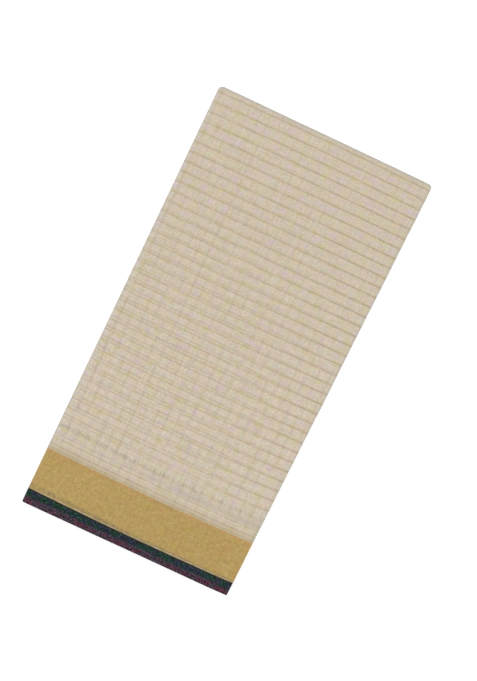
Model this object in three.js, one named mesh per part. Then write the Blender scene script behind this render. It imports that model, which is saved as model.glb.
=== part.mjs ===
// A saree folded into a flat packet, lying on its underside.
//
// The cloth is doubled across its width, so both selvedges lie together at one end and the
// fold is at the other. The doubled cloth is then folded along its length, panel on panel.
// The last panel comes round one side and lies underneath.
//
// Millimetres, +Z up. +Y is the folded end, -Y the selvedge end, -X the wrapped side and
// +X the side of the fold lips. The origin is the middle of the footprint, on the surface
// that the packet lies on.
import * as THREE from "three";

// The cloth and how often it is folded
const CLOTH_WIDTH = 1150;
const PANELS = 19;
const PACKET_WIDTH = 288;
const PACKET_LENGTH = CLOTH_WIDTH / 2;

// The packet isn't quite square: its folded end is a little wider, and lies further to +X
const FOLD_END_WIDER = 5;
const FOLD_END_ASIDE = 10.2;

// A leaf is the doubled cloth. The air is left at seams and between a piece and what it lies on.
const LEAF = 1;
const AIR = 0.3;
const BODY_HEIGHT = PANELS * LEAF + 2 * AIR;

// How the top settles towards the edges: how deep, and from how far in
const FRONT_DROP = { depth: 1, reach: 110 };
const BACK_DROP = { depth: 2, reach: 9 };
const LIP_DROP = { depth: 0.5, reach: 14 };

// The corners of the folded end in plan, and the wrapped side in section
const CORNER_RADIUS = 4.5;
const WRAP_DEPTH = 3.4;
const WRAP_POWER = 2.5;

// The top and under panels turn back on themselves along the lips
const LIP_RADIUS = LEAF + AIR / 2;
const LIP_RETURN = 6;

// Steps that the curves are cut into
const LENGTH_STEP = 52;
const CORNER_STEPS = 5;
const TOP_STEPS = 7;
const WRAP_STEPS = 12;
const LIP_STEPS = 6;

// The bands of the cloth, from the selvedge inwards
const BANDS = [
  { name: "maroon_edge", from: 0, to: 7.5, colour: 0x48363f, metal: 0 },
  { name: "green_band", from: 7.5, to: 17.5, colour: 0x25312d, metal: 0 },
  { name: "zari_band", from: 17.5, to: 75, colour: 0xb79a60, metal: 0.35 },
  { name: "field", from: 75, to: PACKET_LENGTH, colour: 0xcbbda7, metal: 0 },
];

// The hidden folds, from the lowest up: the panels that share the fold, and how far its
// edges lie inside the packet's outline, along the lips and at the selvedges and the fold
const FOLDS = [
  { panels: 2, lipFront: 1.6, lipBack: 0.5, front: 1.3, back: 1.1 },
  { panels: 2, lipFront: 0.7, lipBack: 1.5, front: 0.6, back: 2.1 },
  { panels: 2, lipFront: 1.9, lipBack: 1.2, front: 2.2, back: 0.9 },
  { panels: 2, lipFront: 0.9, lipBack: 2.3, front: 1.1, back: 1.7 },
  { panels: 2, lipFront: 2.4, lipBack: 1.4, front: 1.8, back: 2.6 },
  { panels: 2, lipFront: 1.3, lipBack: 0.8, front: 0.7, back: 1.4 },
  { panels: 1, lipFront: 2.8, lipBack: 2.0, front: 2.6, back: 2.9 },
  { panels: 2, lipFront: 1.0, lipBack: 1.7, front: 1.4, back: 1.9 },
];
// How deep the grooves between the folds are, and the levels that round a fold between them
const FOLD_GROOVE = 0.9;
const SELVEDGE_GROOVE = 0.4;
const WRAP_GROOVE = 0.35;
const ROUND_LEVELS = [0.14, 0.5, 0.86];

// The thickness left at the very edge of a rounded fold, as a share of a leaf
const FOLD_EDGE = 0.3;

const ROUGHNESS = 0.85;
const HIDDEN_COLOUR = 0xc4b69f;

// Heights and outlines

function drop(distance, { depth, reach }) {
  const share = Math.max(0, 1 - distance / reach);
  return depth * share * share;
}

function height(y) {
  const fromFront = y + PACKET_LENGTH / 2;
  const fromBack = PACKET_LENGTH / 2 - y;
  return BODY_HEIGHT - drop(fromFront, FRONT_DROP) - drop(fromBack, BACK_DROP);
}

// How far a corner of the folded end rounds in, at a distance from that end
function cornerInset(fromBack) {
  const along = Math.max(0, CORNER_RADIUS - Math.max(0, fromBack));
  return CORNER_RADIUS - Math.sqrt(CORNER_RADIUS ** 2 - along ** 2);
}

// Half the packet's width at a place, for an end that lies at its own distance from there
function halfWidth(y, fromBack = PACKET_LENGTH / 2 - y) {
  return (PACKET_WIDTH + (FOLD_END_WIDER * y) / PACKET_LENGTH) / 2 - cornerInset(fromBack);
}

// How far the middle of the packet's width lies to +X at a place
function aside(y) {
  return (FOLD_END_ASIDE * y) / PACKET_LENGTH;
}

// The wrapped side's section is a superellipse, and a surface inside it has both radii shorter
function wrapX(edge, top, z, inset) {
  const share = Math.min(1, Math.abs(z - top / 2) / (top / 2 - inset));
  const bulge = (1 - share ** WRAP_POWER) ** (1 / WRAP_POWER);
  return edge + WRAP_DEPTH - (WRAP_DEPTH - inset) * bulge;
}

// Sections of the outer walls: points on the outer face, and the way out of the cloth there

function lipArc(x, z, turn) {
  const points = [];
  for (let i = 0; i <= LIP_STEPS; i += 1) {
    const angle = turn * Math.PI * (0.5 - i / LIP_STEPS);
    const [outX, outZ] = [Math.cos(angle), Math.sin(angle)];
    points.push({ x: x + LIP_RADIUS * outX, z: z + LIP_RADIUS * outZ, outX, outZ });
  }
  return points;
}

function topSection(y) {
  const edge = halfWidth(y);
  const left = -edge + WRAP_DEPTH + AIR / 2;
  const lip = edge - LIP_RADIUS;
  const surface = (x) => height(y) - drop(edge - x, LIP_DROP);
  const points = [];
  for (let i = 0; i < TOP_STEPS; i += 1) {
    const share = 1 - (1 - i / TOP_STEPS) ** 2;
    const x = left + (lip - left) * share;
    points.push({ x, z: surface(x), outX: 0, outZ: 1 });
  }
  const returnZ = surface(lip) - 2 * LIP_RADIUS;
  points.push(...lipArc(lip, surface(lip) - LIP_RADIUS, 1));
  points.push({ x: edge - LIP_RETURN, z: returnZ, outX: 0, outZ: -1 });
  return points;
}

function underSection(y) {
  const edge = halfWidth(y);
  return [
    { x: -edge + WRAP_DEPTH + AIR / 2, z: 0, outX: 0, outZ: -1 },
    ...lipArc(edge - LIP_RADIUS, LIP_RADIUS, -1),
    { x: edge - LIP_RETURN, z: 2 * LIP_RADIUS, outX: 0, outZ: 1 },
  ];
}

function sideSection(y) {
  const middle = WRAP_DEPTH - halfWidth(y);
  const rise = height(y) / 2;
  const points = [];
  for (let i = 0; i <= WRAP_STEPS; i += 1) {
    const angle = Math.PI * (0.5 - i / WRAP_STEPS);
    const outX = -(Math.abs(Math.cos(angle)) ** (2 / WRAP_POWER));
    const outZ = Math.sign(angle) * Math.abs(Math.sin(angle)) ** (2 / WRAP_POWER);
    const seam = i % WRAP_STEPS === 0 ? AIR / 2 : 0;
    points.push({ x: middle + WRAP_DEPTH * outX - seam, z: rise * (1 + outZ), outX, outZ });
  }
  return points;
}

const STRETCHES = [
  { name: "top", section: topSection },
  { name: "side", section: sideSection },
  { name: "under", section: underSection },
];

// A closed solid through loops of points. The two halves of a loop face each other, and a
// ladder of faces between them closes each end.
function loft(loops) {
  const size = loops[0].length;
  const index = [];
  const quad = (a, b, c, d) => index.push(a, b, c, a, c, d);
  for (let k = 0; k + 1 < loops.length; k += 1) {
    for (let i = 0; i < size; i += 1) {
      const j = (i + 1) % size;
      quad(k * size + i, k * size + j, (k + 1) * size + j, (k + 1) * size + i);
    }
  }
  const last = (loops.length - 1) * size;
  for (let i = 0; i + 1 < size / 2; i += 1) {
    quad(i, size - 1 - i, size - 2 - i, i + 1);
    quad(last + i, last + i + 1, last + size - 2 - i, last + size - 1 - i);
  }
  const geometry = new THREE.BufferGeometry();
  geometry.setAttribute("position", new THREE.Float32BufferAttribute(loops.flat(2), 3));
  geometry.setIndex(facingOut(loops.flat(), index));
  geometry.computeVertexNormals();
  return geometry;
}

// The triangles as they are, or all turned over where they enclose a negative volume
function facingOut(points, index) {
  let volume = 0;
  for (let i = 0; i < index.length; i += 3) {
    const [a, b, c] = index.slice(i, i + 3).map((n) => new THREE.Vector3(...points[n]));
    volume += a.dot(b.cross(c));
  }
  return volume < 0 ? index.reverse() : index;
}

// Places along the packet where a section is taken, closer together round its back corners
function stations(from, to) {
  const reachesBack = to === PACKET_LENGTH;
  const straight = reachesBack ? to - BACK_DROP.reach : to;
  const count = Math.max(1, Math.round((straight - from) / LENGTH_STEP));
  const places = [];
  for (let i = 0; i <= count; i += 1) {
    places.push(from + ((straight - from) * i) / count);
  }
  if (reachesBack) {
    places.push(to - (BACK_DROP.reach + CORNER_RADIUS) / 2);
    for (let i = 0; i <= CORNER_STEPS; i += 1) {
      places.push(to - CORNER_RADIUS * (1 - Math.sin((Math.PI * i) / (2 * CORNER_STEPS))));
    }
  }
  return places;
}

// Outer walls: a leaf thick, thinning to a rounded fold in the last half leaf at the back
function wallLoop(section, y) {
  const fromBack = PACKET_LENGTH / 2 - y;
  const rounding = Math.max(0, 1 - fromBack / (LEAF / 2));
  const half = (LEAF / 2) * Math.max(FOLD_EDGE, Math.sqrt(1 - rounding ** 2));
  const points = section(y);
  const place = (p, inwards) => [p.x - p.outX * inwards + aside(y), y, p.z - p.outZ * inwards];
  const face = (inwards) => points.map((p) => place(p, inwards));
  return [...face(LEAF / 2 - half), ...face(LEAF / 2 + half).reverse()];
}

function wall(band, stretch) {
  const from = band.from + (band.from > 0 ? AIR / 2 : 0);
  const to = band.to - (band.to < PACKET_LENGTH ? AIR / 2 : 0);
  return loft(stations(from, to).map((place) => wallLoop(stretch.section, place - PACKET_LENGTH / 2)));
}

// The larger inset of two neighbouring folds, for the groove between them
function deepest(fold, neighbour) {
  const keys = Object.keys(fold);
  return Object.fromEntries(keys.map((key) => [key, Math.max(fold[key], neighbour[key])]));
}

// Levels of the hidden folds, from the bottom up. A level lies at a share of the height that
// is left between its clearances from the floor and from the top, at the lips and the wrap.
// Each fold is round between two grooves. Beside the returns of the top and under panels the
// solid stands back behind them.
function foldLevels() {
  const total = FOLDS.reduce((sum, fold) => sum + fold.panels, 0);
  const [lowest, highest] = [FOLDS[0], FOLDS[FOLDS.length - 1]];
  const pastReturn = { lips: 2 * (LEAF + AIR), wrap: 2 * (LEAF + AIR) };
  const ledge = { lips: 2 * (LEAF + AIR), wrap: 2 * LEAF + AIR };
  const pastWall = { lips: LEAF + AIR, wrap: LEAF + AIR };
  const behind = (fold, share, clear) => ({ ...fold, share, clear, groove: 1, behindReturn: true });
  const levels = [behind(lowest, 0, pastWall), behind(lowest, 0, ledge)];
  let below = 0;
  for (const [i, fold] of FOLDS.entries()) {
    const groove = deepest(fold, FOLDS[Math.max(0, i - 1)]);
    levels.push({ ...groove, share: below / total, groove: 1, clear: pastReturn });
    for (const rise of ROUND_LEVELS) {
      const share = (below + rise * fold.panels) / total;
      const depth = 1 - Math.sqrt(1 - (2 * rise - 1) ** 2);
      levels.push({ ...fold, share, groove: depth, clear: pastReturn });
    }
    below += fold.panels;
  }
  levels.push({ ...highest, share: 1, groove: 1, clear: pastReturn });
  return [...levels, behind(highest, 1, ledge), behind(highest, 1, pastWall)];
}

// The two ends of a level's row, on the wrapped side and along the lips, at a share of the
// way from the selvedges to the fold
function foldRow(level, along) {
  const start = -PACKET_LENGTH / 2 + level.front + SELVEDGE_GROOVE * level.groove;
  const end = PACKET_LENGTH / 2 - level.back - FOLD_GROOVE * level.groove;
  const y = start + (end - start) * along;
  const edge = halfWidth(y, end - y);
  const rise = (top, clear) => clear + (top - 2 * clear) * level.share;
  const wrapZ = rise(height(y), level.clear.wrap);
  const wrapped = wrapX(-edge, height(y), wrapZ, LEAF + AIR) + WRAP_GROOVE * level.groove;
  const lipIn = level.lipFront + (level.lipBack - level.lipFront) * along;
  const lip = edge - (level.behindReturn ? LIP_RETURN + AIR : lipIn + FOLD_GROOVE * level.groove);
  const lipZ = rise(height(y) - LIP_DROP.depth, level.clear.lips);
  return { wrapped: [wrapped + aside(y), y, wrapZ], lip: [lip + aside(y), y, lipZ] };
}

function hiddenFolds() {
  const levels = foldLevels();
  return loft(stations(0, PACKET_LENGTH).map((place) => {
    const rows = levels.map((level) => foldRow(level, place / PACKET_LENGTH));
    return [...rows.map((row) => row.wrapped), ...rows.map((row) => row.lip).reverse()];
  }));
}

// The packet

function cloth(name, geometry, colour, metalness) {
  const material = new THREE.MeshStandardMaterial({ color: colour, roughness: ROUGHNESS, metalness });
  const mesh = new THREE.Mesh(geometry, material);
  mesh.name = name;
  return mesh;
}

const saree = new THREE.Group();
for (const band of BANDS) {
  for (const stretch of STRETCHES) {
    saree.add(cloth(`${band.name}_${stretch.name}`, wall(band, stretch), band.colour, band.metal));
  }
}
saree.add(cloth("inner_layers", hiddenFolds(), HIDDEN_COLOUR, 0));
const footprint = new THREE.Box3().setFromObject(saree);
saree.position.x = -(footprint.min.x + footprint.max.x) / 2;

export default saree;
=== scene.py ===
import math

import bpy
import numpy as np
from mathutils import Matrix, Vector


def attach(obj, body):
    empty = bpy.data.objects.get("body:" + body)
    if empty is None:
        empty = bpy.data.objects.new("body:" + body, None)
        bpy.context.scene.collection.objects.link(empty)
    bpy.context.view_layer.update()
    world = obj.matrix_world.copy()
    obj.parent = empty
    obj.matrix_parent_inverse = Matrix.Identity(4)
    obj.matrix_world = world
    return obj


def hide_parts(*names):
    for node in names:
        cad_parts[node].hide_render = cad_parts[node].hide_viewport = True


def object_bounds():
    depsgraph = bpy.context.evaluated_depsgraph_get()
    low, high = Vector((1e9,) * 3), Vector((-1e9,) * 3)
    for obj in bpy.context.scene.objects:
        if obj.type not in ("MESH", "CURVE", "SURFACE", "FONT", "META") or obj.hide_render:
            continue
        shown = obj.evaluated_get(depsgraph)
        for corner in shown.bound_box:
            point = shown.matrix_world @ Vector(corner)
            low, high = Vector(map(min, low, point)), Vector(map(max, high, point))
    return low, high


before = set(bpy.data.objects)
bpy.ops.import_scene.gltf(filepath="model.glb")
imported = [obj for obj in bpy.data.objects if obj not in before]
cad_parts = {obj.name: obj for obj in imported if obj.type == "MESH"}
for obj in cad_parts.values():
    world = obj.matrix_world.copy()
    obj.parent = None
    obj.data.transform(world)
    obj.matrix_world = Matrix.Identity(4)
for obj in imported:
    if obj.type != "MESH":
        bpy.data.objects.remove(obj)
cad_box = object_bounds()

# A saree folded into a flat packet: pale striped cloth, a gold zari band, and a selvedge in dark
# green and maroon. Metres, in the frame of the part: +Y is the folded end, -Y the selvedge end,
# -X the side that the last panel wraps, +X the side of the fold lips.
MM = 0.001

# The packet, as the part has it. The folded end is a little wider, and lies further to +X. The
# wrapped side bulges by its depth, rounder for a lower power, and the folds inside it follow it
# up to a share of its height.
LENGTH = cad_box[1][1] - cad_box[0][1]
HEIGHT = cad_box[1][2] - cad_box[0][2]
WIDTH = 288 * MM
FOLD_END_WIDER = 5 * MM
FOLD_END_ASIDE = 10.2 * MM
FOOTPRINT_SHIFT = -1.2 * MM
CORNER_RADIUS = 4.5 * MM
WRAP_DEPTH = 3.4 * MM
WRAP_POWER = 2.5
WRAP_ENDS = 0.98

# The cloth is doubled across its width, so a panel is two plies thick
PANELS = 19
LEAF = 0.88 * MM
PLY_GROOVE = 0.5 * MM
FLOOR_GAP = 0.05 * MM

# The wall rounds off at the folded end, from so far in, but never to nothing
FOLD_ROUNDING = 0.6 * MM
FOLD_ROUNDED = 0.985

# How the top settles towards the edges: how deep, and from how far in
FRONT_DROP = (1.0 * MM, 110 * MM)
BACK_DROP = (2.0 * MM, 9 * MM)
LIP_DROP = (0.5 * MM, 14 * MM)

# The bands of the cloth, from the selvedge inwards, with their slots and the solids' names
BANDS = {
    "maroon": (0, 7.5 * MM, "maroon", "maroon_edge"),
    "green": (7.5 * MM, 17.5 * MM, "dark_green", "green_band"),
    "zari": (17.5 * MM, 75 * MM, "zari", "zari_band"),
    "field": (75 * MM, LENGTH, "field", "field"),
}

# The folds along the lips, named by the lower panel of each pair: how far the edge lies inside
# the packet's outline at the selvedge end and at the folded end. 17 is the cloth's own end.
LIPS = {
    1: (0, 0),
    3: (1.6, 0.5),
    5: (0.7, 1.5),
    7: (1.9, 1.2),
    9: (0.9, 2.3),
    11: (2.4, 1.4),
    13: (1.3, 0.8),
    15: (1.9, 1.7),
    17: (3.0, 2.2),
    18: (0, 0),
}

# How far each panel's selvedges and fold lie inside the outline, from the lowest panel up
SELVEDGES_IN = [
    0.1, 0.5, 1.3, 1.2, 0.6, 0.7, 2.2, 2.0, 1.1, 1.0, 1.8, 1.7, 0.7, 0.8, 2.4, 2.6, 1.4, 0.4, 0
]
FOLDS_IN = [
    0.1, 0.6, 1.1, 1.4, 2.1, 1.9, 0.9, 1.2, 1.7, 2.0, 2.6, 2.2, 1.4, 1.1, 2.9, 2.4, 1.9, 0.5, 0
]
SHIFT_REACH = 60 * MM
BLEND_REACH = 40 * MM

# How far the edges stray from their lines, and the lengths over which they do so
LIP_STRAY = 0.12 * MM
LEFT_STRAY = 0.24 * MM
END_STRAY = 0.1 * MM
STRAY_LENGTHS = (143 * MM, 79 * MM, 37 * MM)

# The folds inside the wrapped side: their distance from it, and how much less the panel with the
# cloth's own end reaches
LEFT_GAP = 0.7 * MM
END_SHORT = 2 * MM

# The woven bands bend away from the selvedge at both sides. The bow grows up to a distance from
# the selvedge, and fades out between two others.
BOW = 1.7 * MM
BOW_SLOPE = 0.75 * MM
BOW_MIDDLE = 0.7 * MM
BOW_FROM = 17 * MM
BOW_FADES = (85 * MM, 115 * MM)

# Soft waves of the upper face: a wavelength along X, one along Y, a phase and a height
RIPPLES = [
    (0.61, 0.27, 0.4, 0.15 * MM),
    (0.23, 0.49, 2.1, 0.11 * MM),
    (0.17, 0.19, 4.4, 0.06 * MM),
    (0.35, 0.093, 1.2, 0.05 * MM),
    (0.081, 0.31, 3.3, 0.035 * MM),
]

# Soft creases of the upper face, listed in millimetres: from x, y to x, y, then the
# depth (a ridge is less than 0), the half width, and how far the line bends sideways
CREASES_ABOVE = [
    (-66, -205, -68, 282, 0.16, 2.6, 1.5),
    (-131, -214, -134, 268, 0.14, 2.4, 0.8),
    (6, -60, -9, 150, 0.07, 3.2, 3.0),
    (58, 96, 41, 287, 0.08, 3.6, -2.5),
    (-104, -16, -35, 12, 0.06, 3.0, 2.0),
    (12, -122, 96, -141, 0.07, 2.8, -2.5),
    (92, -30, 121, 118, -0.08, 4.2, 3.0),
    (-38, 172, 44, 188, -0.06, 3.8, 2.0),
    (-120, 96, -88, 214, -0.07, 4.6, -3.0),
    (24, -268, 30, -219, 0.09, 3.4, 1.5),
    (-112, -262, -106, -223, 0.07, 3.0, -1.0),
    (110, -276, 104, -236, -0.07, 4.0, 1.0),
]

# The same for the under face, which rests on the floor and can only rise from it
CREASES_BELOW = [
    (-70, -240, -64, 275, 0.20, 2.8, 1.5),
    (38, -180, 22, 60, 0.14, 3.4, -3.0),
    (84, 40, 112, 236, 0.16, 3.8, 2.5),
    (-122, -60, -20, -34, 0.12, 3.0, 2.5),
    (-30, 140, 66, 122, 0.12, 3.4, -2.0),
    (-96, 180, -108, 268, 0.14, 3.6, 1.0),
]

# How often a crease swings aside along its length, and how soon it fades at its ends
CREASE_SWINGS = 2.3
CREASE_FADING = 0.6

# The path of the cloth: the number of steps over each stretch, the distance between rows, the
# rows at the selvedge and at the folded end in millimetres, and where on the second panel from
# the top or the bottom the outermost piece ends, inside the lips. Edges that bend more than the
# last angle are sharp.
OUTER_STEPS = {"tail": 5, "lips": 9, "top": 96, "wrap": 22, "under": 64}
INNER_STEPS = {"first": 12, "panel": 14, "left": 6, "right": 7}
OUTER_ROWS = 3.3 * MM
INNER_ROWS = 5.5 * MM
MAROON_ROWS = (0, 0.5, 1.5, 3.5, 6)
FOLD_ROWS = (14, 9, 6.5, 4.8, 3.8, 2.9, 2.1, 1.4, 0.9, 0.6, 0.3, 0.12, 0)
TAIL_SHARE = 0.84
SHARP = math.radians(55)

# How much light the studio gives, against a white that just reaches the display's white
EXPOSURE_GAIN = 1 / 1.12

# The woven lines of the field. A pinstripe's distance from the folded end is START and so many
# times PITCH, with a little more at each, and it bows at both sides, the less the further it is
# from the folded end. Near that end and the lips it lies a little closer to the fold.
PINSTRIPE_START = 7.1 * MM
PINSTRIPE_PITCH = 13.425 * MM
PINSTRIPE_GROWTH = 0.000515
PINSTRIPE_SOFTNESS = (0.13, 0.125)
BELOW_SOFTNESS = (0.17, 0.16)
STRIPE_BOW = 1.5 * MM
STRIPE_BOW_GROWTH = -0.0095
STRIPE_BOW_SIDE = 130 * MM
STRIPE_LOWER = 0.45 * MM

# The ribs run the other way, straight across the cloth, while the folds lean a little from them.
# Two of them are stronger.
RIB_START = 5.2 * MM
RIB_PITCH = 13.48 * MM
RIB_LEAN = 0.0175
STRONG_RIBS = (-10, -5)

# The fine lines beside the gold band: their distances from the folded end, widths and strengths
BORDER_LINES = [
    (478.4, 1.3, 0.20),
    (484.0, 1.5, 0.50),
    (488.4, 1.2, 0.22),
    (492.6, 1.7, 0.64),
    (497.9, 2.4, 0.62),
]

# Other places, by their distance from the folded end: the darker hazy line and its ticks, which
# come nearer to the fold on the wrapped side, the duller strip of the gold, and its pale thread
DARK_LINE_AT = 469.8 * MM
TICKS_AT = 468.4 * MM
DARK_LINE_SINKS = 4.3 * MM
SEAM_STARTS = (551.4 * MM, 554.6 * MM)
PALE_THREAD_AT = 556.1 * MM

# How deep the weave's bump is
BUMP = 0.12 * MM

# The camera, at the photograph's angle: nearly overhead, and rolled so that the packet leans
LENS = 50
SENSOR = 36
TARGET = Vector((0.0133, 0.0112, 0))
DISTANCE = 1.1973
TILT = math.radians(3.32)
TILT_TOWARDS = math.radians(111.6)
ROLL = math.radians(25.11)

# The studio: each lamp's name, place, size and power, the light from all round, and the floor
LAMPS = (
    ("key", (-0.9, 1.1, 1.9), 1.4, 14),
    ("fill", (1.3, -0.8, 1.7), 1.6, 7),
)
SKY_STRENGTH = 0.92
FLOOR_REACH = 4
FLOOR_COLOUR = (0.93, 0.93, 0.93, 1)
FLOOR_GLOW = 0.3


def creased(x, y, creases):
    """The depth of the creases at x and y: each fades towards its ends."""
    total = 0
    for x0, y0, x1, y1, depth, width, bend in creases:
        run = Vector((x1 - x0, y1 - y0)) * MM
        along = ((x - x0 * MM) * run.x + (y - y0 * MM) * run.y) / run.length_squared
        aside = ((x - x0 * MM) * -run.y + (y - y0 * MM) * run.x) / run.length
        inside = np.clip(along, 0, 1)
        aside = aside - bend * MM * np.sin(math.pi * CREASE_SWINGS * inside)
        ends = np.sin(math.pi * inside) ** CREASE_FADING
        total = total + depth * MM * ends * np.exp(-((aside / (width * MM)) ** 2))
    return total


def rippled(x, y):
    """The height of the soft waves at x and y."""
    total = 0
    for along_x, along_y, phase, height in RIPPLES:
        total = total + height * np.sin(2 * math.pi * (x / along_x + y / along_y) + phase)
    return total


def wander(place, seed, reach):
    """An uneven edge: how far it strays, at a place along it. The shorter waves are lower."""
    total = 0
    for i, length in enumerate(STRAY_LENGTHS):
        phase = seed * (2.7 + 1.9 * i)
        total = total + np.sin(2 * math.pi * place / length + phase) / (i + 1.5)
    return reach * total


def fade(distance, reach):
    """1 at no distance, and softly down to 0 at the reach."""
    return np.maximum(0, 1 - distance / reach) ** 2


def drop(distance, sizes):
    depth, reach = sizes
    return depth * fade(distance, reach)


# The packet's outline and heights. A row is a line across the packet: v is its distance from the
# selvedges, measured on the cloth.
def left_edge(y, v):
    return middle(y) - half_width(y, v)


def right_edge(y, v):
    return middle(y) + half_width(y, v)


def middle(y):
    """The middle of the outline, which leans to +X towards the folded end."""
    return FOLD_END_ASIDE * y / LENGTH + FOOTPRINT_SHIFT


def half_width(y, v):
    """Half the outline's width, less at the rounded corners of the folded end."""
    along = np.clip(CORNER_RADIUS - (LENGTH - v), 0, CORNER_RADIUS)
    inset = CORNER_RADIUS - np.sqrt(CORNER_RADIUS**2 - along**2)
    return (WIDTH + FOLD_END_WIDER * y / LENGTH) / 2 - inset


def top(x, y, v):
    """The height of the upper face."""
    to_lips = np.maximum(0, right_edge(y, v) - x)
    settled = drop(v, FRONT_DROP) + drop(LENGTH - v, BACK_DROP) + drop(to_lips, LIP_DROP)
    return HEIGHT - settled + rippled(x, y) - creased(x, y, CREASES_ABOVE)


def level(panel, x, y, v):
    """The height of a panel's middle; panels count from 1, the lowest, to PANELS."""
    share = (panel - 1) / (PANELS - 1)
    lowest = FLOOR_GAP + LEAF / 2 + creased(x, y, CREASES_BELOW)
    highest = top(x, y, v) - LEAF / 2
    return lowest + share * (highest - lowest)


def wrap_inside(z, y, v):
    """Where the wrapped side's inner face is at height z."""
    high = top(left_edge(y, v), y, v)
    share = np.minimum(WRAP_ENDS, np.abs(z - high / 2) / (high / 2 - LEAF))
    bulge = (1 - share**WRAP_POWER) ** (1 / WRAP_POWER)
    return left_edge(y, v) + WRAP_DEPTH - (WRAP_DEPTH - LEAF) * bulge


def turns_right(panel):
    """The panel that this one meets at the lips, or nothing where the cloth ends."""
    return {17: None, 18: 19, 19: 18}.get(panel, panel + 1 if panel % 2 else panel - 1)


def turns_left(panel):
    """The same at the wrapped side."""
    return {1: 19, 18: None, 19: 1}.get(panel, panel - 1 if panel % 2 else panel + 1)


def right_start(panel, y, v):
    """Where a panel's flat run ends and its fold at the lips begins."""
    other = turns_right(panel)
    lower = min(panel, other or panel)
    near, far = LIPS[lower]
    inset = (near + (far - near) * v / LENGTH) * MM + LIP_STRAY + wander(v, lower, LIP_STRAY)
    edge = right_edge(y, v) - inset
    if other is None:
        return edge
    radius = (level(lower + 1, edge, y, v) - level(lower, edge, y, v)) / 2
    return edge - LEAF / 2 - radius


def left_start(panel, y, v):
    """The same at the wrapped side, where the inner folds stay inside the wrap."""
    other = turns_left(panel)
    edge = left_edge(y, v) + WRAP_DEPTH
    if panel in (1, PANELS):
        return edge
    lower = min(panel, other or panel)
    height = level(lower + 0.5, edge, y, v)
    stray = wander(v, lower + 4, LEFT_STRAY)
    inside = wrap_inside(height, y, v) + LEFT_GAP + stray
    if other is None:
        return inside + END_SHORT
    radius = (level(lower + 1, edge, y, v) - level(lower, edge, y, v)) / 2
    return inside + LEAF / 2 + radius


def shifts(panel, share, insets):
    """How far a panel is drawn in at one end, blended towards the panels that it folds into."""
    own = insets[panel - 1]
    total = own
    reach = BLEND_REACH / WIDTH
    for other, away in ((turns_left(panel), share), (turns_right(panel), 1 - share)):
        if other:
            total += ((insets[other - 1] - own) / 2) * fade(away, reach)
    return total * MM


def bowed(across, v):
    """The woven bands aren't quite straight: they bend away from the selvedge at both sides."""
    start, end = BOW_FADES
    ends = np.clip(v / BOW_FROM, 0, 1) * np.clip((end - v) / (end - start), 0, 1)
    side = across / (WIDTH / 2)
    return ends * (BOW * side**2 - BOW_SLOPE * side - BOW_MIDDLE)


def run_of(station, v):
    """The place, x, y and z, of one station of the cloth's path in every row."""
    kind, panel, share = station
    if kind == "flat":
        front = shifts(panel, share, SELVEDGES_IN)
        back = shifts(panel, share, FOLDS_IN)
        across = (share - 0.5) * WIDTH
    else:
        other = 1 if kind == "wrap" else panel + 1
        front = (SELVEDGES_IN[panel - 1] + SELVEDGES_IN[other - 1]) / 2 * MM
        back = (FOLDS_IN[panel - 1] + FOLDS_IN[other - 1]) / 2 * MM
        across = WIDTH / 2 if kind == "right" else -WIDTH / 2
    # The outermost panel strays alike above and below, and less than the others
    seed = PANELS if panel == 1 else panel
    stray = END_STRAY * (0.5 if seed == PANELS else 1)
    front = front + stray + wander(across, seed + 2, stray)
    back = back + stray + wander(across, seed + 8, stray)
    y = v - LENGTH / 2 + front * fade(v, SHIFT_REACH) - back * fade(LENGTH - v, SHIFT_REACH)
    y = y + bowed(across, v)
    if kind == "flat":
        left = left_start(panel, y, v)
        x = left + share * (right_start(panel, y, v) - left)
        return x, y, level(panel, x, y, v)
    angle = math.radians(share)
    if kind == "wrap":
        x = left_start(1, y, v)
        low, high = level(1, x, y, v), level(PANELS, x, y, v)
        power = 2 / WRAP_POWER
        out = (WRAP_DEPTH - LEAF / 2) * math.cos(angle) ** power
        up = math.copysign(abs(math.sin(angle)) ** power, angle)
        return x - out, y, (low + high) / 2 + (high - low) / 2 * up
    if kind == "right":
        x, side = right_start(panel, y, v), 1
    else:
        x, side = left_start(panel, y, v), -1
    low, high = level(panel, x, y, v), level(panel + 1, x, y, v)
    radius = (high - low) / 2
    return x + side * radius * math.cos(angle), y, (low + high) / 2 + radius * math.sin(angle)


def flat(panel, start, end, steps):
    """The stations along a panel, from one share of its length to another."""
    return [("flat", panel, start + (end - start) * i / steps) for i in range(steps + 1)]


def turn(kind, panel, start, end, steps):
    """The stations of a fold between its two panels, without those that the panels have."""
    return [(kind, panel, start + (end - start) * i / steps) for i in range(1, steps)]


def outer_path():
    """The panel that shows: from inside the lips, over the top, round and under."""
    steps = OUTER_STEPS
    path = flat(18, TAIL_SHARE, 1, steps["tail"]) + turn("right", 18, -90, 90, steps["lips"])
    path += flat(PANELS, 1, 0, steps["top"]) + turn("wrap", PANELS, 90, -90, steps["wrap"])
    path += flat(1, 0, 1, steps["under"]) + turn("right", 1, -90, 90, steps["lips"])
    return path + flat(2, 1, TAIL_SHARE, steps["tail"])


def inner_path():
    """The panels inside it, folded to and fro, up to the cloth's own end."""
    steps = INNER_STEPS
    path = flat(2, TAIL_SHARE, 0, steps["first"])
    for panel in range(3, 18):
        side, start = ("left", 0) if panel % 2 else ("right", 1)
        path += turn(side, panel - 1, -90, 90, steps[side])
        path += flat(panel, start, 1 - start, steps["panel"])
    return path


def last_path():
    """The rest of the panel under the top one, to the cloth's other end."""
    return flat(18, 0, TAIL_SHARE, INNER_STEPS["first"])


def rows_between(start, end, step):
    count = max(1, round((end - start) / step))
    return [start + (end - start) * i / count for i in range(count + 1)]


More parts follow.
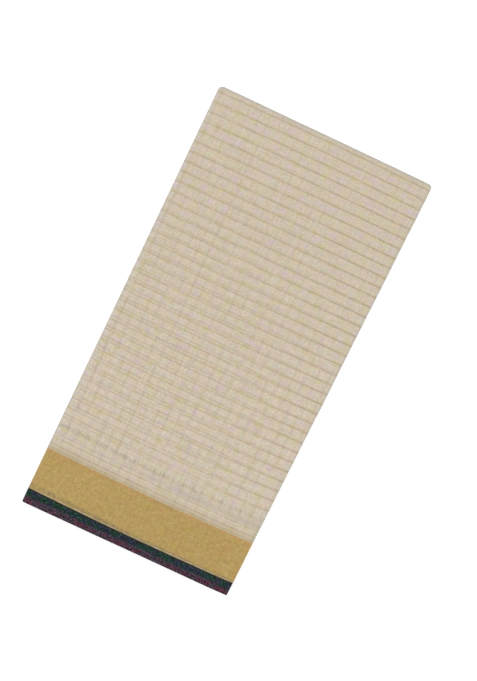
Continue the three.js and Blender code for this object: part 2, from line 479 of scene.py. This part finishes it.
def rows_of(band, step):
    """The rows of a band: closer together at the selvedges and at the folded end."""
    start, end = BANDS[band][:2]
    if band == "maroon":
        return [d * MM for d in MAROON_ROWS] + [end]
    if band == "field":
        back = [d * MM for d in FOLD_ROWS]
        return rows_between(start, LENGTH - back[0], step)[:-1] + [LENGTH - d for d in back]
    return rows_between(start, end, step)


def fold_thickness(v):
    """The wall rounds off at the folded end."""
    inside = np.clip(1 - (LENGTH - v) / FOLD_ROUNDING, 0, FOLD_ROUNDED)
    return np.sqrt(1 - inside**2)


def wall(paths, v, front_groove):
    """A closed leaf of cloth for each path: its corners, faces and places on the cut cloth."""
    corners, faces, cut = [], [], []
    for path in paths:
        line = np.array([run_of(station, v) for station in path]).transpose(0, 2, 1)
        steps = np.diff(line[:, :, [0, 2]], axis=0)
        lengths = np.linalg.norm(steps, axis=2, keepdims=True)
        steps = steps / lengths
        tangent = np.concatenate([steps[:1], steps[:-1] + steps[1:], steps[-1:]])
        tangent = tangent / np.linalg.norm(tangent, axis=2, keepdims=True)
        away = np.stack([tangent[:, :, 1], np.zeros(tangent.shape[:2]), -tangent[:, :, 0]], axis=2)
        half = (LEAF / 2 * fold_thickness(v))[None, :, None]
        outer, inner = line + away * half, line - away * half
        groove = line[:, 0, :] + np.array([0, PLY_GROOVE, 0])
        middle_row = line.shape[1] // 2
        along = np.concatenate([[0], np.cumsum(lengths[:, middle_row, 0])])
        top_middle = [i for i, s in enumerate(path) if s[0] == "flat" and s[1] == PANELS]
        if top_middle:
            along = along[top_middle[len(top_middle) // 2]] - along
        base = sum(len(c) for c in corners)
        n, m = line.shape[:2]
        grid = np.arange(n * m).reshape(n, m) + base
        under = grid + n * m
        place = np.stack(np.broadcast_arrays(along[:, None], v[None, :]), axis=2).reshape(-1, 2)
        corners += [outer.reshape(-1, 3), inner.reshape(-1, 3)]
        cut += [place, place]
        faces += quads(grid, True) + quads(under, False)
        faces += strip(under[0], grid[0]) + strip(grid[-1], under[-1])
        faces += strip(under[:, -1], grid[:, -1])
        if front_groove:
            deep = np.arange(n) + base + 2 * n * m
            corners.append(groove)
            cut.append(place.reshape(n, m, 2)[:, 0])
            faces += strip(grid[:, 0], deep) + strip(deep, under[:, 0])
            faces += [[deep[0], grid[0, 0], under[0, 0]], [deep[-1], under[-1, 0], grid[-1, 0]]]
        else:
            faces += strip(grid[:, 0], under[:, 0])
    return np.concatenate(corners), faces, np.concatenate(cut)


def quads(grid, outward):
    a, b, c, d = grid[:-1, :-1], grid[1:, :-1], grid[1:, 1:], grid[:-1, 1:]
    order = (a, b, c, d) if outward else (a, d, c, b)
    return np.stack(order, axis=2).reshape(-1, 4).tolist()


def strip(first, second):
    """Faces between two rows of corners."""
    return np.stack([first[:-1], second[:-1], second[1:], first[1:]], axis=1).tolist()


def cloth(name, band, paths, step, material):
    """One band's piece of cloth, as a mesh with its places on the cut cloth in metres."""
    v = np.array(rows_of(band, step))
    corners, faces, cut = wall(paths, v, band == "maroon")
    mesh = bpy.data.meshes.new(name)
    mesh.from_pydata(corners.tolist(), [], faces)
    layer = mesh.uv_layers.new(name="cloth")
    index = np.empty(len(mesh.loops), dtype=np.int32)
    mesh.loops.foreach_get("vertex_index", index)
    layer.uv.foreach_set("vector", cut[index].astype(np.float32).ravel())
    mesh.update()
    mesh.validate()
    mesh.shade_smooth()
    mesh.set_sharp_from_angle(angle=SHARP)
    mesh.materials.append(material)
    piece = bpy.data.objects.new(name, mesh)
    bpy.context.scene.collection.objects.link(piece)
    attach(piece, "root")
    return piece


class Number:
    """A number at each point of a surface, worked out by nodes."""

    def __init__(self, shader, socket):
        self.shader = shader
        self.socket = socket

    def __add__(self, other):
        return self.shader.math("ADD", self, other)

    def __sub__(self, other):
        return self.shader.math("SUBTRACT", self, other)

    def __mul__(self, other):
        return self.shader.math("MULTIPLY", self, other)

    def fraction(self):
        return self.shader.math("FRACT", self)

    def size(self):
        return self.shader.math("ABSOLUTE", self)

    def sine(self):
        return self.shader.math("SINE", self)

    def ramp(self, low, high, at_low, at_high):
        """Goes smoothly from at_low to at_high as the number goes from low to high."""
        node = self.shader.add("ShaderNodeMapRange")
        node.interpolation_type = "SMOOTHSTEP"
        self.shader.join(self, node.inputs["Value"])
        node.inputs["From Min"].default_value = low
        node.inputs["From Max"].default_value = high
        node.inputs["To Min"].default_value = at_low
        node.inputs["To Max"].default_value = at_high
        return Number(self.shader, node.outputs["Result"])


class Shader:
    """A material made of nodes, with places on the cut cloth in metres."""

    def __init__(self, name):
        self.material = bpy.data.materials.new(name)
        self.material.use_nodes = True
        self.tree = self.material.node_tree
        self.principled = self.tree.nodes["Principled BSDF"]
        place = self.add("ShaderNodeUVMap")
        place.uv_map = "cloth"
        split = self.add("ShaderNodeSeparateXYZ")
        self.tree.links.new(place.outputs["UV"], split.inputs[0])
        self.u = Number(self, split.outputs["X"])
        self.v = Number(self, split.outputs["Y"])

    def add(self, kind):
        return self.tree.nodes.new(kind)

    def join(self, value, socket):
        """Gives a socket a number of the nodes, or a plain value."""
        if isinstance(value, Number):
            self.tree.links.new(value.socket, socket)
        else:
            socket.default_value = value

    def math(self, operation, first, second=None):
        node = self.add("ShaderNodeMath")
        node.operation = operation
        self.join(first, node.inputs[0])
        if second is not None:
            self.join(second, node.inputs[1])
        return Number(self, node.outputs[0])

    def noise(self, per_u, per_v, detail=2.0, roughness=0.5, seed=0.0):
        """Noise from 0 to 1, with so many features to a metre along u and along v."""
        vector = self.add("ShaderNodeCombineXYZ")
        self.join(self.u * per_u, vector.inputs[0])
        self.join(self.v * per_v, vector.inputs[1])
        vector.inputs[2].default_value = seed
        node = self.add("ShaderNodeTexNoise")
        node.inputs["Scale"].default_value = 1
        node.inputs["Detail"].default_value = detail
        node.inputs["Roughness"].default_value = roughness
        self.tree.links.new(vector.outputs[0], node.inputs["Vector"])
        return Number(self, node.outputs["Fac"])

    def line(self, place, at, width, soft):
        """1 on a line at a place, falling to 0 over soft."""
        off = (place - at).size()
        return off.ramp(max(0, (width - soft) / 2), (width + soft) / 2, 1, 0)

    def comb(self, place, start, pitch, width, soft):
        """Lines a pitch apart."""
        phase = ((place - start) * (1 / pitch) + 0.5).fraction() - 0.5
        return (phase.size() * pitch).ramp(max(0, (width - soft) / 2), (width + soft) / 2, 1, 0)

    def mix(self, amount, first, second, blend="MIX"):
        """The first colour, with an amount of the second in it."""
        node = self.add("ShaderNodeMix")
        node.data_type = "RGBA"
        node.blend_type = blend
        node.clamp_result = False
        self.join(amount, node.inputs[0])
        self.join(first, node.inputs[6])
        self.join(second, node.inputs[7])
        return Number(self, node.outputs[2])

    def weave(self, pitch_u, pitch_v):
        """The height of a plain weave, from -1 to 1."""
        over = (self.u * (math.pi / pitch_u)).sine() * (self.v * (math.pi / pitch_v)).sine()
        warp = (self.u * (2 * math.pi / pitch_u)).sine()
        return over * 0.6 + warp * 0.4

    def set(self, name, value):
        """Sets one of the surface's own values."""
        self.principled.inputs[name].default_value = value

    def finish(self, colour, height, roughness, roughness_spread, spread):
        """The material, with its colour, bump and roughness, which varies with the spread."""
        self.join(colour, self.principled.inputs["Base Color"])
        node = self.add("ShaderNodeBump")
        node.inputs["Strength"].default_value = 1
        node.inputs["Distance"].default_value = BUMP
        self.join(height, node.inputs["Height"])
        self.tree.links.new(node.outputs[0], self.principled.inputs["Normal"])
        rough = spread.ramp(0.2, 0.8, roughness - roughness_spread, roughness + roughness_spread)
        self.join(rough, self.principled.inputs["Roughness"])
        return self.material


def lit(red, green, blue):
    """The material's colour that the studio shows as this one, of 0 to 255."""
    linear = []
    for part in (red, green, blue):
        share = part / 255
        light = share / 12.92 if share <= 0.04045 else ((share + 0.055) / 1.055) ** 2.4
        linear.append(light * EXPOSURE_GAIN)
    return (*linear, 1)


def from_the_fold(s):
    """The distance from the folded end, on the cloth."""
    return s.math("SUBTRACT", LENGTH, s.v)


def stripe_count(s, from_fold):
    """Which pinstripe a place is at: a whole number on each."""
    bow = from_fold * STRIPE_BOW_GROWTH + STRIPE_BOW
    clipped = s.math("MINIMUM", s.math("MAXIMUM", s.u, -WIDTH / 2), WIDTH / 2)
    side = clipped * (1 / STRIPE_BOW_SIDE)
    lower = s.u.ramp(-20 * MM, 120 * MM, 0, STRIPE_LOWER) * from_fold.ramp(0.1, 0.26, 1, 0)
    steps = (from_fold - side * side * bow + lower - PINSTRIPE_START) * (1 / PINSTRIPE_PITCH)
    return steps - steps * steps * PINSTRIPE_GROWTH


def field_base(s, from_fold, count):
    """The plain cloth. It's a little yellower along its stripes, and its threads vary in tint."""
    slow = s.noise(9, 7, 3)
    base = s.mix(from_fold.ramp(0.05, 0.45, 0, 1), lit(216, 201, 182), lit(224, 209, 191))
    base = s.mix(slow.ramp(0.3, 0.7, 0, 0.5), base, lit(217, 205, 185))
    along_stripes = s.comb(count, 0, 1, 0.5, 0.5)
    between_stripes = s.math("SUBTRACT", 1, along_stripes)
    base = s.mix(along_stripes, base, (1, 1, 0.982, 1), "MULTIPLY")
    for per_u, per_v, seed, place, tint, strength in (
        (88, 78, 31.0, between_stripes, lit(217, 196, 201), 0.85),
        (78, 86, 37.0, along_stripes, lit(211, 204, 156), 0.8),
        (94, 84, 43.0, between_stripes, lit(205, 208, 188), 0.5),
        (84, 92, 47.0, along_stripes, lit(221, 200, 166), 0.6),
    ):
        patches = s.noise(per_u, per_v, 2, 0.5, seed).ramp(0.49, 0.68, 0, strength)
        base = s.mix(patches * place.ramp(0, 1, 0.5, 1.1), base, tint)
    return base


def stripe_strength(s, from_fold, count, stripes):
    """The stripes, stronger towards the folded end and the lips, and those of the panel below,
    which show through a little nearer the folded end."""
    to_border = from_fold.ramp(452 * MM, 464 * MM, 1, 0)
    near = from_fold.ramp(0.15, 0.45, 0.62, 0.45) * s.u.ramp(-0.13, 0.10, 0.92, 1.02)
    broken = s.noise(110, 14, 3, 0.65, 9.0).ramp(0.25, 0.75, 0.55, 1.4)
    apart = from_fold.ramp(0.0, 0.36, 0.1, 0.31) * s.u.ramp(0.0, 0.13, 1.0, 0.3)
    below = s.comb(count + apart, 0, 1, *BELOW_SOFTNESS)
    seen = from_fold.ramp(0.02, 0.3, 0.16, 0.36) * s.u.ramp(-0.1, 0.14, 1.0, 0.8)
    seen = seen * s.noise(90, 14, 3, 0.6, 21.0).ramp(0.3, 0.7, 0.5, 1.4)
    return (stripes * near * broken + below * seen) * to_border


def rib_strength(s, from_fold, across):
    """The ribs, with fainter ones between them, and two stronger ones."""
    ribs = s.comb(across, RIB_START, RIB_PITCH, 3.6 * MM, 4.4 * MM)
    ribs = ribs * from_fold.ramp(0.05, 0.38, 0.11, 0.16) * s.u.ramp(-0.05, 0.13, 1.0, 0.85)
    between = s.comb(across, RIB_START + RIB_PITCH / 2, RIB_PITCH, 2.6 * MM, 2.4 * MM)
    ribs = ribs + between * from_fold.ramp(0.08, 0.26, 0.06, 0.015)
    ribs = ribs + s.comb(across, RIB_START, RIB_PITCH / 4, 1.3 * MM, 1.2 * MM) * 0.03
    for number in STRONG_RIBS:
        ribs = ribs + s.line(across, RIB_START + number * RIB_PITCH, 2.4 * MM, 2.2 * MM) * 0.09
    return ribs * s.noise(150, 75, 3, 0.7, 12.0).ramp(0.3, 0.7, 0.15, 1.85)


def dark_line_and_shade(s, from_fold, across):
    """A darker hazy line above the gold band, with ticks, and a strip of painted shade under it.
    """
    at_dark_line = from_fold - s.u.ramp(-WIDTH / 2, 0.0, -DARK_LINE_SINKS, 0)
    haze = s.line(at_dark_line, DARK_LINE_AT, 4.2 * MM, 6.0 * MM)
    haze = haze * s.noise(90, 110, 3, 0.65, 15.0).ramp(0.3, 0.7, 0.2, 0.48)
    haze = haze * s.noise(520, 170, 2, 0.6, 44.0).ramp(0.4, 0.6, 0.35, 1.6)
    unsteady = s.noise(60, 60, 2, 0.5, 16.0)
    ticks = s.comb(across + unsteady * (6 * MM), RIB_START + 3 * MM, RIB_PITCH, 2.2 * MM, 3.0 * MM)
    ticks = ticks * s.line(at_dark_line, TICKS_AT, 5.0 * MM, 5.0 * MM)
    ticks = ticks * unsteady.ramp(0.35, 0.65, 0.12, 0.42)
    fades = s.u.ramp(0.03, 0.13, 1, 0.6) * s.u.ramp(-0.146, -0.139, 0, 1)
    # Painted shade: a strip under the line, darker towards the lips
    under = from_fold.ramp(472 * MM, 476 * MM, 0, 1) * from_fold.ramp(480 * MM, 485 * MM, 1, 0)
    return (haze + ticks) * fades + under * s.u.ramp(-0.12, 0.12, 0.06, 0.27)


def border_line_strength(s, from_fold):
    """The fine lines beside the gold band."""
    fine = 0
    for place, wide, strength in BORDER_LINES:
        fine = s.line(from_fold, place * MM, wide * MM, 0.9 * wide * MM) * strength + fine
    return fine * s.noise(70, 60, 3, 0.6, 18.0).ramp(0.3, 0.7, 0.45, 1.3)


def painted_edge_shade(s, from_fold, shade):
    """Painted shade where the cloth turns down, at the folded end, the lips and the wrapped side.
    """
    # Painted shade along the folded end
    shade = s.mix(from_fold.ramp(0.5 * MM, 5.5 * MM, 0.78, 0), shade, lit(185, 185, 178))
    # Painted shade from the lips on, which also greys the folds inside them
    lips = s.u.ramp(137.5 * MM, 143 * MM, 0, 1)
    on_side = s.u.ramp(-175 * MM, -160 * MM, 0, 1)
    # Painted shade where the wrapped side turns down, and painted bluish light over that turn and
    # just inside it
    wrapped_blue_light = s.u.ramp(-143.5 * MM, -136 * MM, 1, 0) * on_side
    turned_shade = s.u.ramp(-147.5 * MM, -141.5 * MM, 1, 0) * on_side
    for amount, tint in (
        (lips, (0.82, 0.905, 0.955, 1)),
        (wrapped_blue_light, (0.98, 1.04, 1.13, 1)),
        (turned_shade, (0.79, 0.8, 0.81, 1)),
    ):
        shade = s.mix(amount, shade, tint, "MULTIPLY")
    return shade


def field_material():
    s = Shader("pale_striped_cloth")
    from_fold = from_the_fold(s)
    across = s.u + s.v * RIB_LEAN
    count = stripe_count(s, from_fold)
    stripes = s.comb(count, 0, 1, *PINSTRIPE_SOFTNESS)
    shade = field_base(s, from_fold, count)
    shade = s.mix(stripe_strength(s, from_fold, count, stripes), shade, lit(175, 157, 131))
    woven = rib_strength(s, from_fold, across) + border_line_strength(s, from_fold)
    shade = s.mix(woven, shade, lit(170, 154, 128))
    # The darker hazy line, and painted shade under it
    shade = s.mix(dark_line_and_shade(s, from_fold, across), shade, lit(160, 148, 133))
    shade = s.mix(from_fold.ramp(485 * MM, 500 * MM, 0, 0.6), shade, lit(188, 171, 132))
    # Painted shade and light along the edges where the cloth turns down
    shade = painted_edge_shade(s, from_fold, shade)
    # Single threads, lighter and darker
    slub = s.noise(30, 900, 3, 0.65, 4.0)
    ends = s.noise(900, 22, 3, 0.65, 7.0)
    mottle = s.noise(560, 520, 3, 0.7, 2.0)
    grain = slub.ramp(0.3, 0.7, -0.45, 0.45) + ends.ramp(0.3, 0.7, -0.35, 0.35)
    grain = grain + mottle.ramp(0.3, 0.7, -0.8, 0.8)
    grain = grain + s.noise(260, 240, 2, 0.6, 41.0).ramp(0.35, 0.65, -0.25, 0.25)
    shade = s.mix(grain.ramp(-1.4, 1.4, 0, 0.49), shade, lit(158, 141, 118))
    height = s.weave(0.46 * MM, 0.42 * MM) * 0.5 + slub * 0.9 + ends * 0.6 + mottle * 0.4
    height = height - stripes * 0.35
    s.set("Sheen Weight", 0.12)
    s.set("Sheen Roughness", 0.45)
    s.set("Sheen Tint", (1, 0.95, 0.87, 1))
    s.set("Specular IOR Level", 0.28)
    return s.finish(shade, height, 0.78, 0.07, slub)


def gold_ground(s, from_fold, across):
    """The gold of the zari band, with its patches, streaks, warmer top strip and ribs."""
    streak = s.noise(130, 9, 3, 0.6, 1.0)
    blotch = s.noise(80, 75, 3, 0.6, 5.0)
    cloud = s.noise(210, 190, 3, 0.7, 27.0)
    base = s.mix(streak.ramp(0.3, 0.7, 0.15, 0.85), lit(188, 159, 95), lit(198, 170, 107))
    base = s.mix(blotch.ramp(0.45, 0.62, 0, 0.66), base, lit(188, 166, 84))
    orange = s.noise(75, 80, 3, 0.6, 11.0).ramp(0.46, 0.62, 0, 0.62)
    base = s.mix(orange, base, lit(194, 153, 97))
    base = s.mix(s.u.ramp(-0.13, 0.08, 0.3, 0), base, lit(202, 172, 104))
    base = s.mix(cloud.ramp(0.38, 0.62, 0, 0.34), base, lit(152, 125, 70))
    warm = from_fold.ramp(501 * MM, 508 * MM, 1, 0)
    redder = warm * s.noise(60, 70, 3, 0.6, 13.0).ramp(0.42, 0.58, 0, 1)
    base = s.mix(redder, base, lit(197, 153, 100))
    greener = warm * s.noise(55, 60, 3, 0.6, 14.0).ramp(0.5, 0.62, 0, 0.6)
    base = s.mix(greener, base, lit(168, 147, 94))
    uneven = s.noise(170, 120, 3, 0.65, 33.0).ramp(0.42, 0.58, 0.1, 1)
    base = s.mix(from_fold.ramp(500 * MM, 502 * MM, 0.8, 0) * uneven, base, lit(194, 177, 140))
    ribs = s.comb(across, RIB_START, RIB_PITCH / 2, 2.0 * MM, 2.0 * MM)
    ribs = ribs * s.noise(60, 40, 3, 0.65, 17.0).ramp(0.35, 0.7, 0, 0.2)
    return s.mix(ribs, base, lit(150, 118, 62)), streak


def gold_seam(s, from_fold, base):
    """A duller strip beside the dark band, wider on the wrapped side, and a pale thread."""
    aside = s.u.ramp(-WIDTH / 2, 20 * MM, -3.5 * MM, 0)
    starts = from_fold - aside - s.u.ramp(0, WIDTH / 2, 0, 0.9 * MM)
    seam = starts.ramp(*SEAM_STARTS, 0, 0.95) * s.u.ramp(-WIDTH / 2, -30 * MM, 0.55, 1.05)
    speckle = s.noise(210, 420, 3, 0.65, 8.0).ramp(0.42, 0.58, 0.3, 1.25)
    speckle = speckle * s.noise(85, 60, 3, 0.6, 29.0).ramp(0.4, 0.6, 0.7, 1.25)
    greener = s.noise(75, 90, 3, 0.65, 28.0).ramp(0.44, 0.56, 0, 1)
    base = s.mix(seam * speckle, base, s.mix(greener, lit(142, 119, 94), lit(133, 127, 80)))
    pale = s.line(from_fold, PALE_THREAD_AT, 1.2 * MM, 0.8 * MM)
    pale = pale * s.noise(90, 300, 3, 0.6, 19.0).ramp(0.38, 0.56, 0.1, 1)
    return s.mix(pale, base, lit(187, 173, 150))


def zari_material():
    s = Shader("gold_zari")
    from_fold = from_the_fold(s)
    base, streak = gold_ground(s, from_fold, s.u + s.v * RIB_LEAN)
    base = gold_seam(s, from_fold, base)
    fleck = s.noise(620, 300, 3, 0.65, 3.0)
    glint = s.noise(520, 400, 3, 0.65, 23.0)
    base = s.mix(fleck.ramp(0.3, 0.75, 0, 0.42), base, lit(136, 106, 54))
    base = s.mix(glint.ramp(0.5, 0.8, 0, 0.45), base, lit(214, 186, 122))
    base = s.mix(from_fold.ramp(556.9 * MM, 557.3 * MM, 0, 1), base, lit(28, 27, 14))
    height = s.weave(0.5 * MM, 0.38 * MM) * 0.6 + fleck * 0.8 + streak * 0.5
    s.set("Metallic", 0.3)
    s.set("Specular IOR Level", 0.35)
    return s.finish(base, height, 0.5, 0.08, fleck)


def dark_material(s, base, height, roughness, fleck):
    s.set("Sheen Weight", 0.03)
    s.set("Specular IOR Level", 0.15)
    return s.finish(base, height, roughness, 0.07, fleck)


def green_material():
    s = Shader("dark_green_band")
    from_fold = from_the_fold(s)
    patch = s.noise(95, 110, 3, 0.65, 1.0)
    other = s.noise(120, 130, 3, 0.65, 2.0)
    fleck = s.noise(800, 300, 3, 0.65, 4.0)
    dark = s.noise(680, 240, 3, 0.65, 5.0)
    navy = patch.ramp(0.43, 0.57, 0, 1)
    base = s.mix(navy, lit(7, 52, 36), lit(25, 32, 55))
    base = s.mix(other.ramp(0.5, 0.62, 0, 0.85), base, lit(10, 52, 54))
    deep = s.mix(navy, lit(1, 19, 10), lit(6, 6, 18))
    base = s.mix(dark.ramp(0.45, 0.53, 0, 0.88), base, deep)
    base = s.mix(from_fold.ramp(559 * MM, 560.6 * MM, 1, 0), base, lit(24, 24, 11))
    bright = s.mix(patch.ramp(0.45, 0.55, 0, 1), lit(66, 108, 90), lit(88, 96, 118))
    base = s.mix(fleck.ramp(0.52, 0.6, 0, 0.58), base, bright)
    # Threads of the maroon edge run into it, and some of these into the edge
    mixed = s.noise(190, 280, 2, 0.6, 7.0).ramp(0.5, 0.56, 0, 1)
    mixed = mixed * from_fold.ramp(564.5 * MM, 567.5 * MM, 0, 1)
    base = s.mix(mixed, base, lit(74, 40, 60))
    height = s.weave(0.46 * MM, 0.42 * MM) * 0.6 + fleck * 0.8
    return dark_material(s, base, height, 0.7, fleck)


def maroon_material():
    s = Shader("maroon_selvedge")
    from_fold = from_the_fold(s)
    patch = s.noise(95, 120, 3, 0.65, 1.0)
    other = s.noise(130, 120, 3, 0.65, 3.0)
    fleck = s.noise(780, 330, 3, 0.65, 4.0)
    dark = s.noise(660, 260, 3, 0.65, 5.0)
    greyer = patch.ramp(0.42, 0.58, 0, 1)
    base = s.mix(greyer, lit(80, 25, 52), lit(55, 44, 58))
    base = s.mix(other.ramp(0.5, 0.64, 0, 0.85), base, lit(52, 36, 56))
    deep = s.mix(greyer, lit(26, 3, 13), lit(14, 7, 13))
    base = s.mix(dark.ramp(0.45, 0.53, 0, 0.92), base, deep)
    base = s.mix(s.v.ramp(0.3 * MM, 1.6 * MM, 0.5, 0), base, lit(34, 24, 30))
    mixed = s.noise(190, 280, 2, 0.6, 9.0).ramp(0.5, 0.56, 0, 1)
    mixed = mixed * from_fold.ramp(567.5 * MM, 569.8 * MM, 1, 0)
    base = s.mix(mixed, base, lit(30, 50, 56))
    # Pale ends of threads
    ticks = s.comb(s.u, 0, 1.9 * MM, 0.6 * MM, 0.5 * MM)
    ticks = ticks * s.comb(s.v, 0.8 * MM, 2.1 * MM, 0.6 * MM, 0.5 * MM)
    ticks = ticks * s.noise(260, 300, 2, 0.5, 6.0).ramp(0.4, 0.6, 0, 1)
    base = s.mix(ticks * 0.6, base, lit(140, 130, 136))
    bright = s.mix(greyer, lit(142, 84, 108), lit(120, 104, 118))
    base = s.mix(fleck.ramp(0.52, 0.6, 0, 0.62) * s.v.ramp(0, 1.8 * MM, 0.35, 1), base, bright)
    height = s.weave(0.46 * MM, 0.42 * MM) * 0.6 + fleck * 0.8 + ticks * 0.4
    return dark_material(s, base, height, 0.72, fleck)


def camera():
    """The camera, aimed at the target from its distance and tilt."""
    away = Vector(
        (
            math.sin(TILT) * math.cos(TILT_TOWARDS),
            math.sin(TILT) * math.sin(TILT_TOWARDS),
            math.cos(TILT),
        )
    )
    right = (-away).cross(Vector((0, 1, 0))).normalized()
    up = right.cross(-away)
    rolled_right = math.cos(ROLL) * right + math.sin(ROLL) * up
    rolled_up = -math.sin(ROLL) * right + math.cos(ROLL) * up
    lens = bpy.data.cameras.new("camera")
    lens.lens = LENS
    lens.sensor_width = SENSOR
    lens.sensor_fit = "AUTO"
    lens.clip_start = 0.05
    holder = bpy.data.objects.new("camera", lens)
    axes = Matrix((rolled_right, rolled_up, away)).transposed().to_4x4()
    holder.matrix_world = Matrix.Translation(TARGET + away * DISTANCE) @ axes
    bpy.context.scene.collection.objects.link(holder)
    bpy.context.scene.camera = holder


def studio():
    """A plain pale floor, even light from all round, and one soft light from above."""
    world = bpy.data.worlds.new("studio")
    world.use_nodes = True
    background = world.node_tree.nodes["Background"]
    background.inputs["Color"].default_value = (1, 1, 1, 1)
    background.inputs["Strength"].default_value = SKY_STRENGTH
    bpy.context.scene.world = world
    bpy.context.scene.view_settings.view_transform = "Standard"
    for name, place, size, power in LAMPS:
        light = bpy.data.lights.new(name, "AREA")
        light.shape = "DISK"
        light.size = size
        light.energy = power
        lamp = bpy.data.objects.new(name, light)
        lamp.location = place
        lamp.rotation_euler = (-Vector(place)).to_track_quat("-Z", "Y").to_euler()
        bpy.context.scene.collection.objects.link(lamp)
    mesh = bpy.data.meshes.new("floor")
    corners = ((-1, -1), (1, -1), (1, 1), (-1, 1))
    square = [(x * FLOOR_REACH, y * FLOOR_REACH, 0) for x, y in corners]
    mesh.from_pydata(square, [], [(0, 1, 2, 3)])
    pale = bpy.data.materials.new("pale_floor")
    pale.use_nodes = True
    surface = pale.node_tree.nodes["Principled BSDF"]
    surface.inputs["Base Color"].default_value = FLOOR_COLOUR
    surface.inputs["Roughness"].default_value = 0.9
    surface.inputs["Specular IOR Level"].default_value = 0.1
    surface.inputs["Emission Color"].default_value = (1, 1, 1, 1)
    surface.inputs["Emission Strength"].default_value = FLOOR_GLOW
    mesh.materials.append(pale)
    floor = bpy.data.objects.new("floor", mesh)
    bpy.context.scene.collection.objects.link(floor)


camera()
studio()

materials = {
    "maroon": maroon_material(),
    "green": green_material(),
    "zari": zari_material(),
    "field": field_material(),
}
outer, inner = {}, {}
for band, material in materials.items():
    outer[band] = cloth(band + "_cloth", band, [outer_path()], OUTER_ROWS, material)
    inner[band] = cloth(band + "_folds", band, [inner_path(), last_path()], INNER_ROWS, material)
    node = BANDS[band][3]
    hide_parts(node + "_top", node + "_side", node + "_under")
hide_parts("inner_layers")
